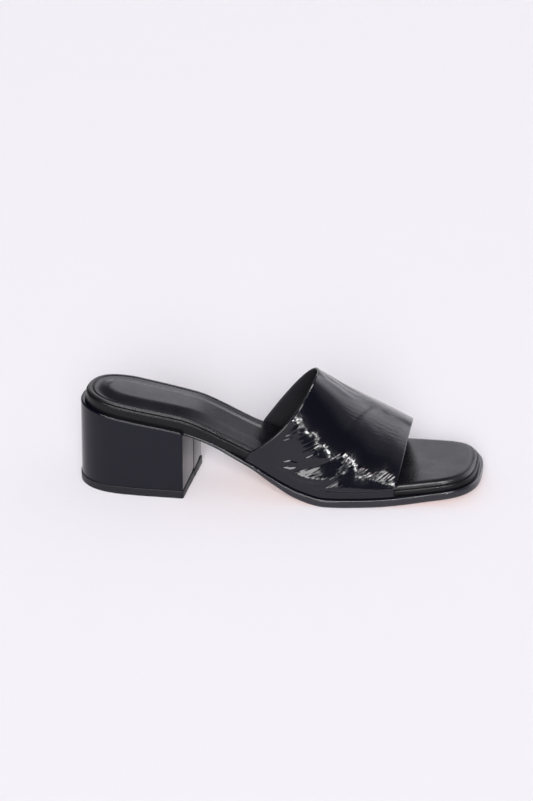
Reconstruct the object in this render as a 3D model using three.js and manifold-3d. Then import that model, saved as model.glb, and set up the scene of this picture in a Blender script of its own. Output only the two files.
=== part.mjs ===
// A woman's open-toed block-heel mule for the right foot: one wide vamp band, an open back and a squared toe.
// Millimetres. +X runs to the toe, +Y to the wearer's left (the big-toe side) and +Z up.
// The origin is on the floor, in the middle of the heel's tread.
import * as THREE from "three";
import { mergeVertices } from "three/addons/utils/BufferGeometryUtils.js";
import Module from "manifold-3d";

const wasm = await Module();
wasm.setup();

// Plan of the last: lengths along the floor and widths across the footbed.
const footbedLength = 245.5;
const seatWidth = 48;
const waistWidth = 44;
const ballWidth = 78;
const toeWidth = 60;
const forefootSwing = 26.5; // how far the forefoot lies to the big-toe side of the heel's own axis
const heelRound = 30; // length of the round at the back
const toeRound = 25; // length over which the toe closes
const toeSquareness = 3; // 2 is an ellipse, more is squarer
const heelSquareness = 2.3;

// Heights of the last.
const seatHeight = 53.8; // floor to the seat at its back
const toeSpring = 7;

// Outsole.
const outsoleThickness = 5.2;
const outsoleWaistThickness = 2.6;
const outsoleBreastThickness = 2.2;
const outsoleWelt = 2; // how far it stands out past the footbed at the toe
const outsoleVampWelt = 3.6; // and beside the vamp, whose wall it carries
const outsoleTuck = 12; // how far it runs in over the heel's seat
const outsoleEdge = 1.6; // rounding of its bottom edge

// Footbed: the board with its leather wrap, and the padded sock on it.
const footbedSeatThickness = 7.4;
const footbedWaistThickness = 5.4;
const footbedToeThickness = 3.4;
const footbedEdge = 0.8;
const sockMargin = 1.6; // footbed left bare round the sock
const sockHem = 0.9; // height of the sock's flat hem
const sockHemWidth = 2.6;
const sockPad = 1.5; // rise of the padding above the hem
const sockPadShoulder = 4.2; // width over which the padding rises

// Vamp: patent leather and lining as one wall.
const vampWall = 1.5;
const vampMargin = 8; // lasting margin turned in under the footbed
const vampTurn = 1.9; // outer radius of the turn at its lower edge
const throatHeight = 78; // floor to the crest of its rear edge
const toeOpeningHeight = 36.8; // floor to the crest of its front edge

// Heel.
const heelLength = 69.8; // back of the heel to its breast
const heelRim = 2.2; // width of the ledge round the seat
const heelLip = 1; // how far the ledge stands above the seat
const heelFlare = 1; // how far its back and sides spread towards the floor
const breastCorner = 1.3;
const breastSeamWidth = 0.7;
const breastSeamDepth = 0.6;
const breastSeamOffset = 3.5; // to the big-toe side of the middle
const topLiftThickness = 5.2;
const topLiftStep = 0.5; // how far it stands out past the foot of the block
const topLiftEdge = 0.6;

// Clearance between two pieces that are glued together.
const glueLine = 0.3;

// Last outline. A row's half width and swing hold at that share of the footbed's length.
const planRows = [
  { at: 0, half: 0.5 * seatWidth, swing: -0.02 },
  { at: 0.14, half: 0.5 * seatWidth, swing: -0.03 },
  { at: 0.27, half: 0.475 * seatWidth, swing: -0.03 },
  { at: 0.4, half: 0.507 * waistWidth, swing: 0.04 },
  { at: 0.5, half: 0.63 * waistWidth, swing: 0.29 },
  { at: 0.6, half: 0.455 * ballWidth, swing: 0.6 },
  { at: 0.68, half: 0.496 * ballWidth, swing: 0.79 },
  { at: 0.755, half: 0.494 * ballWidth, swing: 0.92 },
  { at: 0.83, half: 0.466 * ballWidth, swing: 0.99 },
  { at: 0.89, half: 0.56 * toeWidth, swing: 1 },
  { at: 0.943, half: 0.512 * toeWidth, swing: 1 },
  { at: 1, half: 0.475 * toeWidth, swing: 1 },
];

// Last bottom. Rise is a share of the seat's height above the ball, spring a share of the toe spring.
const bottomRows = [
  { at: 0, rise: 1, spring: 0 },
  { at: 0.14, rise: 0.89, spring: 0 },
  { at: 0.275, rise: 0.78, spring: 0 },
  { at: 0.33, rise: 0.7, spring: 0 },
  { at: 0.39, rise: 0.56, spring: 0 },
  { at: 0.45, rise: 0.405, spring: 0 },
  { at: 0.51, rise: 0.225, spring: 0 },
  { at: 0.57, rise: 0.08, spring: 0 },
  { at: 0.635, rise: 0, spring: 0 },
  { at: 0.71, rise: 0, spring: 0 },
  { at: 0.8, rise: 0, spring: 0.17 },
  { at: 0.9, rise: 0, spring: 0.54 },
  { at: 1, rise: 0, spring: 1 },
];

// Layers along the shoe: the outsole's thickness and how far it stands out, and the footbed's thickness.
const layerRows = [
  { at: 0, outsole: outsoleBreastThickness, welt: -1, footbed: footbedSeatThickness },
  { at: 0.26, outsole: outsoleBreastThickness, welt: -1, footbed: footbedSeatThickness },
  { at: 0.36, outsole: outsoleWaistThickness, welt: 0, footbed: footbedWaistThickness },
  { at: 0.43, outsole: outsoleWaistThickness, welt: 0.7 * outsoleVampWelt, footbed: footbedWaistThickness },
  { at: 0.6, outsole: outsoleThickness, welt: outsoleVampWelt, footbed: footbedToeThickness },
  { at: 0.79, outsole: outsoleThickness, welt: outsoleVampWelt, footbed: footbedToeThickness },
  { at: 0.9, outsole: outsoleThickness, welt: outsoleWelt, footbed: footbedToeThickness },
  { at: 1, outsole: outsoleThickness, welt: outsoleWelt, footbed: footbedToeThickness },
];

// Vamp band from its rear edge (along 0) to its front edge (along 1). Lateral and medial give where each side
// leaves the sole and crest where the top lies, as shares of the footbed's length. Height is a share of the way
// from the toe opening's height up to the throat's. Ridge is the crest's shift from the middle, as a share of the
// half width. Each side is one curve from its foot to the crest: Ahead and Up place its first handle and Out
// pushes that handle outwards, while Top is how far the crest runs level, all as shares of the way it has to go.
const vampRows = [
  { along: 0, lateral: 0.431, medial: 0.428, crest: 0.5945, height: 1, ridge: 0.015,
    lateralAhead: 0.73, lateralUp: 0.36, lateralOut: 0.055, lateralTop: 0.42,
    medialAhead: 0.84, medialUp: 1.06, medialOut: 0.12, medialTop: 0.63 },
  { along: 0.5, lateral: 0.618, medial: 0.608, crest: 0.708, height: 0.43, ridge: 0.04,
    lateralAhead: 0.72, lateralUp: 0.33, lateralOut: 0.07, lateralTop: 0.42,
    medialAhead: 0.72, medialUp: 0.85, medialOut: 0.1, medialTop: 0.6 },
  { along: 1, lateral: 0.805, medial: 0.79, crest: 0.824, height: 0, ridge: 0.05,
    lateralAhead: 0.7, lateralUp: 0.3, lateralOut: 0.08, lateralTop: 0.42,
    medialAhead: 0.6, medialUp: 0.6, medialOut: 0.06, medialTop: 0.5 },
];

// How finely the curved forms are cut.
const heelArcSteps = 11;
const bodySteps = 34;
const toeArcSteps = 13;
const vampSteps = 20; // from rear edge to front edge
const archSteps = 15; // over each half of the vamp
const turnSteps = 4;

// Smooth curve through one column of a table, without overshoot, so that level rows stay level.
function columnCurve(rows, column, key = "at") {
  const x = rows.map((row) => row[key]);
  const y = rows.map((row) => row[column]);
  const last = x.length - 1;
  const rate = x.slice(1).map((xi, i) => (y[i + 1] - y[i]) / (xi - x[i]));
  const slope = y.map((_, i) => {
    if (i === 0) return rate[0];
    if (i === last) return rate[last - 1];
    return rate[i - 1] * rate[i] <= 0 ? 0 : (2 * rate[i - 1] * rate[i]) / (rate[i - 1] + rate[i]);
  });
  return (at) => {
    if (at <= x[0]) return y[0] + slope[0] * (at - x[0]);
    if (at >= x[last]) return y[last] + slope[last] * (at - x[last]);
    const i = x.findIndex((xi) => xi > at) - 1;
    const span = x[i + 1] - x[i];
    const t = (at - x[i]) / span;
    const bend = t * t * (3 - 2 * t);
    return (
      y[i] * (1 - bend) +
      y[i + 1] * bend +
      span * t * (1 - t) * (slope[i] * (1 - t) - slope[i + 1] * t)
    );
  };
}

const halfCurve = columnCurve(planRows, "half");
const swingCurve = columnCurve(planRows, "swing");
const riseCurve = columnCurve(bottomRows, "rise");
const springCurve = columnCurve(bottomRows, "spring");
const outsoleCurve = columnCurve(layerRows, "outsole");
const weltCurve = columnCurve(layerRows, "welt");
const footbedCurve = columnCurve(layerRows, "footbed");

// Stations are distances along the floor from the back of the footbed.
const breastStation = heelLength - glueLine - heelRim;
const originStation = breastStation - heelLength / 2;
const share = (station) => station / footbedLength;
const swingAt = (station) => forefootSwing * swingCurve(share(station));
const footbedThicknessAt = (station) => footbedCurve(share(station));
const outsoleThicknessAt = (station) => outsoleCurve(share(station));

// Edge of the last's outline on one side (-1 lateral, 1 medial), grown outwards by a margin.
function edgeAt(station, sign, margin) {
  const plain = (s) => swingAt(s) + sign * halfCurve(Math.min(1, Math.max(0, share(s))));
  const slant = Math.hypot(1, plain(station + 0.5) - plain(station - 0.5));
  const half = Math.abs(plain(station) - swingAt(station)) + margin * slant;
  const back = (heelRound - station) / (heelRound + margin);
  const front = (station - (footbedLength - toeRound)) / (toeRound + margin);
  const closed = (reach, squareness) => Math.max(0, 1 - reach ** squareness) ** (1 / squareness);
  if (back > 0) return swingAt(station) + sign * half * closed(back, heelSquareness);
  if (front > 0) return swingAt(station) + sign * half * closed(front, toeSquareness);
  return swingAt(station) + sign * half;
}

// Height of the feather line, the outsole's upper face, above the floor.
function featherHeight(station) {
  const at = Math.min(1.02, Math.max(-0.02, share(station)));
  return outsoleThickness + (seatHeight - outsoleThickness) * riseCurve(at) + toeSpring * springCurve(at);
}

// A point laid out flat (station, across, height above the feather line) is bent onto the last's bottom.
function bend(station, across, height) {
  const step = 0.5;
  const slope = (featherHeight(station + step) - featherHeight(station - step)) / (2 * step);
  const along = Math.hypot(1, slope);
  return new THREE.Vector3(
    station - originStation - (slope / along) * height,
    across,
    featherHeight(station) + height / along,
  );
}

// Stations of an outline grown by a margin, close together where its ends turn.
function outlineStations(margin) {
  const bodyEnd = footbedLength - toeRound;
  const turn = (i, steps, squareness) => Math.sin((Math.PI / 2) * (i / steps)) ** (2 / squareness);
  const stations = [];
  for (let i = heelArcSteps; i > 0; i--)
    stations.push(heelRound - (heelRound + margin) * turn(i, heelArcSteps, heelSquareness));
  for (let i = 0; i < bodySteps; i++)
    stations.push(heelRound + ((bodyEnd - heelRound) * i) / bodySteps);
  for (let i = 0; i <= toeArcSteps; i++)
    stations.push(bodyEnd + (toeRound + margin) * turn(i, toeArcSteps, toeSquareness));
  return stations;
}

// A ring runs from the back along the lateral side to the front and home along the medial side.
function ring(stations, marginAt, pointAt) {
  const side = (sign) => (station) => pointAt(station, edgeAt(station, sign, marginAt(station)));
  return [...stations.map(side(-1)), ...stations.slice().reverse().map(side(1))];
}

// Closed solid from a stack of rings with the same count: walls between them, and rungs across both ends.
function stack(rings) {
  const count = rings[0].length;
  const points = rings.flat();
  const faces = [];
  const quad = (a, b, c, d) => faces.push(a, b, c, a, c, d);
  for (let k = 0; k + 1 < rings.length; k++)
    for (let i = 0; i < count; i++) {
      const j = (i + 1) % count;
      quad(k * count + i, k * count + j, (k + 1) * count + j, (k + 1) * count + i);
    }
  const top = (rings.length - 1) * count;
  for (let i = 0; i + 1 < count / 2; i++) {
    const [a, b, c, d] = [i, i + 1, count - 2 - i, count - 1 - i];
    quad(d, c, b, a);
    quad(top + a, top + b, top + c, top + d);
  }
  return closedGeometry(points, faces);
}

// Geometry from shared points, without the slivers that meet at a point.
function closedGeometry(points, faces) {
  const loose = new THREE.BufferGeometry()
    .setAttribute("position", new THREE.Float32BufferAttribute(points.flatMap((p) => p.toArray()), 3))
    .setIndex(faces);
  const merged = mergeVertices(loose, 1e-3);
  const index = merged.index.array;
  const kept = [];
  for (let i = 0; i < index.length; i += 3) {
    const [a, b, c] = [index[i], index[i + 1], index[i + 2]];
    if (a !== b && b !== c && a !== c) kept.push(a, b, c);
  }
  merged.setIndex(kept);
  return merged;
}

function solidOf(geometry) {
  return new wasm.Manifold(
    new wasm.Mesh({
      numProp: 3,
      vertProperties: geometry.attributes.position.array,
      triVerts: new Uint32Array(geometry.index.array),
    }),
  );
}

function geometryOf(solid) {
  const { vertProperties, triVerts } = solid.getMesh();
  const geometry = new THREE.BufferGeometry()
    .setAttribute("position", new THREE.BufferAttribute(vertProperties, 3))
    .setIndex(new THREE.BufferAttribute(triVerts, 1));
  geometry.computeVertexNormals();
  return geometry;
}

// A layer of a piece that follows the whole outline, at a margin from it and a height above the feather line.
function lastRing(margin, height) {
  return ring(
    outlineStations(margin),
    () => margin,
    (station, across) => bend(station, across, height(station)),
  );
}

// Outsole: bottom edge rounded, upper edge sharp, thin at the waist, tucked in over the heel's seat.
function outsoleGeometry(clearance = 0) {
  const first = breastStation - outsoleTuck - clearance;
  const layer = (inset, height) => {
    const stations = outlineStations(outsoleWelt - inset + clearance).filter((s) => s > first + 1);
    return ring(
      [first, ...stations],
      (station) => weltCurve(share(station)) - inset + clearance,
      (station, across) => bend(station, across, height(station)),
    );
  };
  const lower = (rise) => (station) => -outsoleThicknessAt(station) + rise - clearance;
  return stack([
    layer(outsoleEdge, lower(0)),
    layer(0.3 * outsoleEdge, lower(0.3 * outsoleEdge)),
    layer(0, lower(outsoleEdge)),
    layer(0, () => -0.2 * outsoleEdge + clearance),
    layer(0.3 * outsoleEdge, () => clearance),
  ]);
}

// Footbed board: its wrap leaves both edges rounded.
function footbedBlank(clearance = 0) {
  const lower = glueLine - clearance;
  const upper = (drop) => (station) => glueLine + footbedThicknessAt(station) - drop + clearance;
  return stack([
    lastRing(clearance - 0.4 * footbedEdge, () => lower),
    lastRing(clearance, () => lower + 0.4 * footbedEdge),
    lastRing(clearance, upper(footbedEdge)),
    lastRing(clearance - 0.3 * footbedEdge, upper(0.3 * footbedEdge)),
    lastRing(clearance - footbedEdge, upper(0)),
  ]);
}

// Rebate under one side of the footbed, for the vamp's lasting margin.
function lastingRebate(side, sign) {
  const first = vampRows[0][side] * footbedLength - glueLine;
  const last = vampRows.at(-1)[side] * footbedLength + glueLine;
  const steps = vampSteps;
  const edges = [-sign * (vampMargin + 2 * glueLine), sign * vampWall];
  const row = (offset, height) =>
    Array.from({ length: steps + 1 }, (_, i) => {
      const station = first + ((last - first) * i) / steps;
      const edge = edgeAt(station, sign, 0);
      return bend(station, edge + offset, height);
    });
  const order = sign < 0 ? edges.slice().reverse() : edges;
  const level = (height) => [...row(order[0], height), ...row(order[1], height).reverse()];
  return stack([level(-glueLine), level(vampWall + 2 * glueLine)]);
}

// Footbed: seats on the outsole and the heel, with the vamp's margins let in under its sides.
function footbedGeometry() {
  return geometryOf(
    solidOf(footbedBlank())
      .subtract(solidOf(lastingRebate("lateral", -1)))
      .subtract(solidOf(lastingRebate("medial", 1))),
  );
}

// Sock: a flat hem, then padding that rises over a soft shoulder.
function sockGeometry() {
  const over = (rise) => (station) => 2 * glueLine + footbedThicknessAt(station) + rise;
  const shoulder = [0.1, 0.35, 0.65, 1];
  return stack([
    lastRing(-sockMargin, over(0)),
    lastRing(-sockMargin, over(0.6 * sockHem)),
    lastRing(-sockMargin - 0.4, over(sockHem)),
    lastRing(-sockMargin - sockHemWidth, over(sockHem)),
    ...shoulder.map((part) =>
      lastRing(
        -sockMargin - sockHemWidth - sockPadShoulder * part,
        over(sockHem + sockPad * Math.sin((Math.PI / 2) * part)),
      ),
    ),
  ]);
}

// Vamp: a wall laid over the foot, with both sides lasted under the footbed.
function vampGeometry() {
  const column = (name) => columnCurve(vampRows, name, "along");
  const curves = Object.fromEntries(Object.keys(vampRows[0]).map((name) => [name, column(name)]));

  // Outer line of one section, from the end of the lateral margin over the crest to that of the medial one.
  function section(along) {
    const value = (name) => curves[name](along);
    const stations = { lateral: value("lateral") * footbedLength, medial: value("medial") * footbedLength };
    const outside = glueLine + vampWall;
    const side = (station, sign) => {
      const edge = edgeAt(station, sign, outside);
      const line = [bend(station, edge - sign * (vampMargin + outside), glueLine)];
      for (let i = 0; i <= turnSteps; i++) {
        const turn = (Math.PI / 2) * (i / turnSteps);
        line.push(
          bend(
            station,
            edge - sign * vampTurn * (1 - Math.sin(turn)),
            glueLine + vampTurn * (1 - Math.cos(turn)),
          ),
        );
      }
      line.push(bend(station, edge, vampWall + 2 * glueLine + footbedThicknessAt(station)));
      return line;
    };
    const lateral = side(stations.lateral, -1);
    const medial = side(stations.medial, 1);
    const footL = lateral.at(-1);
    const footM = medial.at(-1);
    const half = (footM.y - footL.y) / 2;
    const crest = new THREE.Vector3(
      value("crest") * footbedLength - originStation,
      (footL.y + footM.y) / 2 + value("ridge") * half,
      toeOpeningHeight + (throatHeight - toeOpeningHeight) * value("height"),
    );
    const arch = (foot, side) => {
      const reach = crest.clone().sub(foot);
      return new THREE.CubicBezierCurve3(
        foot,
        new THREE.Vector3(
          foot.x + reach.x * value(side + "Ahead"),
          foot.y - reach.y * value(side + "Out"),
          foot.z + reach.z * value(side + "Up"),
        ),
        new THREE.Vector3(crest.x, crest.y - reach.y * value(side + "Top"), crest.z),
        crest,
      ).getPoints(archSteps);
    };
    const left = arch(footL, "lateral");
    const right = arch(footM, "medial");
    return [...lateral, ...left.slice(1), ...right.slice(1, -1).reverse(), ...medial.slice().reverse()];
  }

  const outer = [];
  for (let i = 0; i <= vampSteps; i++) outer.push(section(i / vampSteps));
  return wallOf(outer, vampWall);
}

// A wall of even thickness behind a grid of points, closed round its four edges.
function wallOf(outer, thickness) {
  const rows = outer.length;
  const columns = outer[0].length;
  const at = (i, j) => outer[Math.min(rows - 1, Math.max(0, i))][Math.min(columns - 1, Math.max(0, j))];
  const inner = outer.map((line, i) =>
    line.map((point, j) => {
      const along = at(i + 1, j).clone().sub(at(i - 1, j));
      const across = at(i, j + 1).clone().sub(at(i, j - 1));
      return point.clone().addScaledVector(along.cross(across).normalize(), -thickness);
    }),
  );
  const points = [...outer.flat(), ...inner.flat()];
  const far = rows * columns;
  const faces = [];
  const quad = (a, b, c, d) => faces.push(a, b, c, a, c, d);
  const id = (i, j) => i * columns + j;
  for (let i = 0; i + 1 < rows; i++)
    for (let j = 0; j + 1 < columns; j++) {
      quad(id(i + 1, j), id(i + 1, j + 1), id(i, j + 1), id(i, j));
      quad(far + id(i, j), far + id(i, j + 1), far + id(i + 1, j + 1), far + id(i + 1, j));
    }
  const rim = [];
  for (let j = 0; j + 1 < columns; j++) rim.push(id(0, j));
  for (let i = 0; i + 1 < rows; i++) rim.push(id(i, columns - 1));
  for (let j = columns - 1; j > 0; j--) rim.push(id(rows - 1, j));
  for (let i = rows - 1; i > 0; i--) rim.push(id(i, 0));
  rim.forEach((a, k) => {
    const b = rim[(k + 1) % rim.length];
    quad(a, b, far + b, far + a);
  });
  return closedGeometry(points, faces);
}

// Plan of the heel: the last's back with its ledge, closed by the breast between small round corners.
function heelRing(inset, breastInset, pointAt) {
  const margin = glueLine + heelRim - inset;
  const front = breastStation - breastInset;
  const back = outlineStations(margin).slice(0, heelArcSteps);
  const sideSteps = 5;
  const flank = Array.from(
    { length: sideSteps },
    (_, i) => heelRound + ((front - breastCorner - heelRound) * i) / sideSteps,
  );
  const cornerSteps = 4;
  const corner = Array.from({ length: cornerSteps + 1 }, (_, i) => (Math.PI / 2) * (i / cornerSteps));
  const side = (sign) => [
    ...[...back, ...flank].map((station) => pointAt(station, edgeAt(station, sign, margin))),
    ...corner.map((turn) =>
      pointAt(
        front - breastCorner * (1 - Math.sin(turn)),
        edgeAt(front, sign, margin) - sign * breastCorner * (1 - Math.cos(turn)),
      ),
    ),
  ];
  return [...side(-1), ...side(1).reverse()];
}

const upright = (height) => (station, across) =>
  new THREE.Vector3(station - originStation, across, height);

// Heel block: sides that spread a little downwards, a ledge round the seat, a seam down the breast and a bed for the
// outsole's end.
function heelGeometry() {
  const seatBed = (height) => (station, across) => {
    const point = bend(station, across, height);
    point.x = station - originStation;
    return point;
  };
  const block = stack([
    heelRing(-heelFlare, 0, upright(topLiftThickness + glueLine)),
    heelRing(0, 0, seatBed(heelLip - 0.5 * heelRim)),
    heelRing(0.15 * heelRim, 0.15 * heelRim, seatBed(heelLip - 0.15 * heelRim)),
    heelRing(0.5 * heelRim, 0.5 * heelRim, seatBed(heelLip)),
  ]);
  const seamHeight = 2 * seatHeight;
  const seam = new THREE.BoxGeometry(2 * breastSeamDepth, breastSeamWidth, seamHeight);
  seam.deleteAttribute("normal");
  seam.deleteAttribute("uv");
  seam.translate(breastStation - originStation, breastSeamOffset, seamHeight / 2);
  return geometryOf(
    solidOf(block)
      .subtract(solidOf(mergeVertices(seam)))
      .subtract(solidOf(footbedBlank(glueLine)))
      .subtract(solidOf(outsoleGeometry(glueLine))),
  );
}

function topLiftGeometry() {
  const foot = -heelFlare - topLiftStep;
  return stack([
    heelRing(foot + topLiftEdge, topLiftEdge - topLiftStep, upright(0)),
    heelRing(foot, -topLiftStep, upright(topLiftEdge)),
    heelRing(foot, -topLiftStep, upright(topLiftThickness)),
  ]);
}

const materials = {
  patent: new THREE.MeshStandardMaterial({ color: 0x0c0c0f, roughness: 0.12, metalness: 0 }),
  heelPatent: new THREE.MeshStandardMaterial({ color: 0x101014, roughness: 0.16, metalness: 0 }),
  nappa: new THREE.MeshStandardMaterial({ color: 0x17161a, roughness: 0.45, metalness: 0 }),
  soleEdge: new THREE.MeshStandardMaterial({ color: 0x15151a, roughness: 0.35, metalness: 0 }),
  rubber: new THREE.MeshStandardMaterial({ color: 0x202026, roughness: 0.6, metalness: 0 }),
};

const mule = new THREE.Group();

function addPiece(name, geometry, material) {
  const mesh = new THREE.Mesh(geometry, material);
  mesh.name = name;
  mule.add(mesh);
}

addPiece("outsole", outsoleGeometry(), materials.soleEdge);
addPiece("footbed", footbedGeometry(), materials.nappa);
addPiece("sock", sockGeometry(), materials.nappa);
addPiece("vamp", vampGeometry(), materials.patent);
addPiece("heel_block", heelGeometry(), materials.heelPatent);
addPiece("top_lift", topLiftGeometry(), materials.rubber);

export default mule;
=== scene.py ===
# %% [markdown]
# # A block-heel mule, right foot
#
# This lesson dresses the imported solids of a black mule: a wide band of crinkled patent leather, a padded sock
# with its stitches, a leather-wrapped footbed, a thin leather sole, a covered block heel and its rubber lift.
# Everything is in metres, in the same frame as the solids, so a piece goes where its solid is.

# %% Load the frame
import math

import bmesh
import bpy
import numpy as np
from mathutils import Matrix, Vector


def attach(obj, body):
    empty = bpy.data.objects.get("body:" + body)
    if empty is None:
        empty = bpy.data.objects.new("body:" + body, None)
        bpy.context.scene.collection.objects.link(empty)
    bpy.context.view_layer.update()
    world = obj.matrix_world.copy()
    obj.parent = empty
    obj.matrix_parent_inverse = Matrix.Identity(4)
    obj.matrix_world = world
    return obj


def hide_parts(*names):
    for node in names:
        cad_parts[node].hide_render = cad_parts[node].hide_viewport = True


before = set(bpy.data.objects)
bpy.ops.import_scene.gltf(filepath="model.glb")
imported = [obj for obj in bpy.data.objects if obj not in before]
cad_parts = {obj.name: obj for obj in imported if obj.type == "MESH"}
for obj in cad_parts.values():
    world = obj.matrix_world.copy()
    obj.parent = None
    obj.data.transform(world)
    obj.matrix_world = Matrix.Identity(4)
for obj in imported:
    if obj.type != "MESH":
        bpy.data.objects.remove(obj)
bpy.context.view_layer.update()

BODY = "root"
MM = 0.001

# %% [markdown]
# ## The camera
#
# The photograph was taken from the shoe's outer side, turned a little towards the toe and looking down. A
# long lens keeps the heel's upright edges nearly parallel, as they are there.

# %% Place the camera
PHOTO_HIGH = 801
AZIMUTH, ELEVATION = math.radians(11.2), math.radians(24.5)
FOCAL_PIXELS, PIXELS_PER_MM = 2000, 1.62
SENSOR_WIDTH = 36
LOOK_AT = Vector((82.6, 0, 59.2)) * MM
DISTANCE = FOCAL_PIXELS / PIXELS_PER_MM * MM

back = Vector((
    math.sin(AZIMUTH) * math.cos(ELEVATION),
    -math.cos(AZIMUTH) * math.cos(ELEVATION),
    math.sin(ELEVATION),
))
camera_data = bpy.data.cameras.new("camera")
camera_data.sensor_width = SENSOR_WIDTH
camera_data.lens = FOCAL_PIXELS / PHOTO_HIGH * SENSOR_WIDTH
camera_data.clip_start, camera_data.clip_end = 0.05, 50
camera = bpy.data.objects.new("camera", camera_data)
camera.location = LOOK_AT + back * DISTANCE
camera.rotation_mode = "QUATERNION"
camera.rotation_quaternion = back.to_track_quat("Z", "Y")
bpy.context.scene.collection.objects.link(camera)
bpy.context.scene.camera = camera
print("lens", round(camera_data.lens, 2), "mm at", round(DISTANCE, 3), "m")

# %% [markdown]
# ## Colour and shader helpers
#
# Colours are written as they look on a screen, and one function turns them to the linear values that shaders
# use. A second one adds a shader node with its settings and links. The others start a material, lay noise
# over a piece and turn a height into a bump.

# %% Helpers for materials
def linear(colour):
    """Linear RGBA of a hex colour such as "#101014"."""
    parts = [int(colour[i:i + 2], 16) / 255 for i in (1, 3, 5)]
    return [p / 12.92 if p <= 0.04045 else ((p + 0.055) / 1.055) ** 2.4 for p in parts] + [1.0]


def add_node(tree, kind, settings=None, inputs=None):
    """A node with its settings, and each input set to a value or linked to another node's output."""
    node = tree.nodes.new(kind)
    for name, value in (settings or {}).items():
        setattr(node, name, value)
    for name, value in (inputs or {}).items():
        if isinstance(value, bpy.types.NodeSocket):
            tree.links.new(value, node.inputs[name])
        else:
            node.inputs[name].default_value = value
    return node


def start_material(name, colour, roughness, coat=0.0, coat_roughness=0.03, ior=1.5):
    """A plain leather, rubber or thread, ready for its grain."""
    material = bpy.data.materials.new(name)
    material.use_nodes = True
    shader = material.node_tree.nodes["Principled BSDF"]
    shader.inputs["Base Color"].default_value = linear(colour)
    shader.inputs["Roughness"].default_value = roughness
    shader.inputs["IOR"].default_value = ior
    shader.inputs["Coat Weight"].default_value = coat
    shader.inputs["Coat Roughness"].default_value = coat_roughness
    material.diffuse_color = linear(colour)
    return material, material.node_tree, shader


def object_noise(tree, scale, detail=2.0):
    """Noise in the piece's own coordinates, with its scale in features a metre."""
    place = add_node(tree, "ShaderNodeTexCoord").outputs["Object"]
    return add_node(tree, "ShaderNodeTexNoise", inputs={"Vector": place, "Scale": scale, "Detail": detail})


def add_bump(tree, height, depth_mm, strength=1.0, below=None, invert=False):
    """The normal of a surface with this height and depth, laid over another bump if one is given."""
    inputs = {"Height": height, "Distance": depth_mm * MM, "Strength": strength}
    if below is not None:
        inputs["Normal"] = below
    return add_node(tree, "ShaderNodeBump", {"invert": invert}, inputs).outputs["Normal"]

# %% [markdown]
# ## The last
#
# A shoe is built on a last, so the pieces here are drawn from the same sizes as the solids. Stations are
# distances along the floor from the back of the footbed, in millimetres. Tables give the outline, the rise of
# the bottom and the layers as shares of the named sizes.

# %% Sizes of the last and its layers
FOOTBED_LENGTH, SEAT_WIDTH, WAIST_WIDTH, BALL_WIDTH, TOE_WIDTH = 245.5, 48, 44, 78, 60
FOREFOOT_SWING, HEEL_ROUND, TOE_ROUND = 26.5, 30, 25
HEEL_SQUARENESS, TOE_SQUARENESS = 2.3, 3
SEAT_HEIGHT, TOE_SPRING = 53.8, 7
OUTSOLE, OUTSOLE_WAIST, OUTSOLE_BREAST = 5.2, 2.6, 2.2
WELT, VAMP_WELT, OUTSOLE_TUCK, OUTSOLE_EDGE = 2, 3.6, 12, 1.6
FOOTBED_SEAT, FOOTBED_WAIST, FOOTBED_TOE, FOOTBED_EDGE = 7.4, 5.4, 3.4, 0.8
GLUE_LINE = 0.3
HEEL_LENGTH, HEEL_RIM, HEEL_LIP, HEEL_FLARE, BREAST_CORNER = 69.8, 2.2, 1, 1, 1.3
TOP_LIFT, TOP_LIFT_STEP, TOP_LIFT_EDGE = 5.2, 0.5, 0.6
BREAST = HEEL_LENGTH - GLUE_LINE - HEEL_RIM
ORIGIN = BREAST - HEEL_LENGTH / 2

PLAN = {
    "at": [0, 0.14, 0.27, 0.4, 0.5, 0.6, 0.68, 0.755, 0.83, 0.89, 0.943, 1],
    "half": [
        0.5 * SEAT_WIDTH, 0.5 * SEAT_WIDTH, 0.475 * SEAT_WIDTH, 0.507 * WAIST_WIDTH, 0.63 * WAIST_WIDTH,
        0.455 * BALL_WIDTH, 0.496 * BALL_WIDTH, 0.494 * BALL_WIDTH, 0.466 * BALL_WIDTH, 0.56 * TOE_WIDTH,
        0.512 * TOE_WIDTH, 0.475 * TOE_WIDTH,
    ],
    "swing": [-0.02, -0.03, -0.03, 0.04, 0.29, 0.6, 0.79, 0.92, 0.99, 1, 1, 1],
}
BOTTOM = {
    "at": [0, 0.14, 0.275, 0.33, 0.39, 0.45, 0.51, 0.57, 0.635, 0.71, 0.8, 0.9, 1],
    "rise": [1, 0.89, 0.78, 0.7, 0.56, 0.405, 0.225, 0.08, 0, 0, 0, 0, 0],
    "spring": [0, 0, 0, 0, 0, 0, 0, 0, 0, 0, 0.17, 0.54, 1],
}
LAYERS = {
    "at": [0, 0.26, 0.36, 0.43, 0.6, 0.79, 0.9, 1],
    "outsole": [OUTSOLE_BREAST] * 2 + [OUTSOLE_WAIST] * 2 + [OUTSOLE] * 4,
    "welt": [-1, -1, 0, 0.7 * VAMP_WELT, VAMP_WELT, VAMP_WELT, WELT, WELT],
    "footbed": [FOOTBED_SEAT] * 2 + [FOOTBED_WAIST] * 2 + [FOOTBED_TOE] * 4,
}

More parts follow.
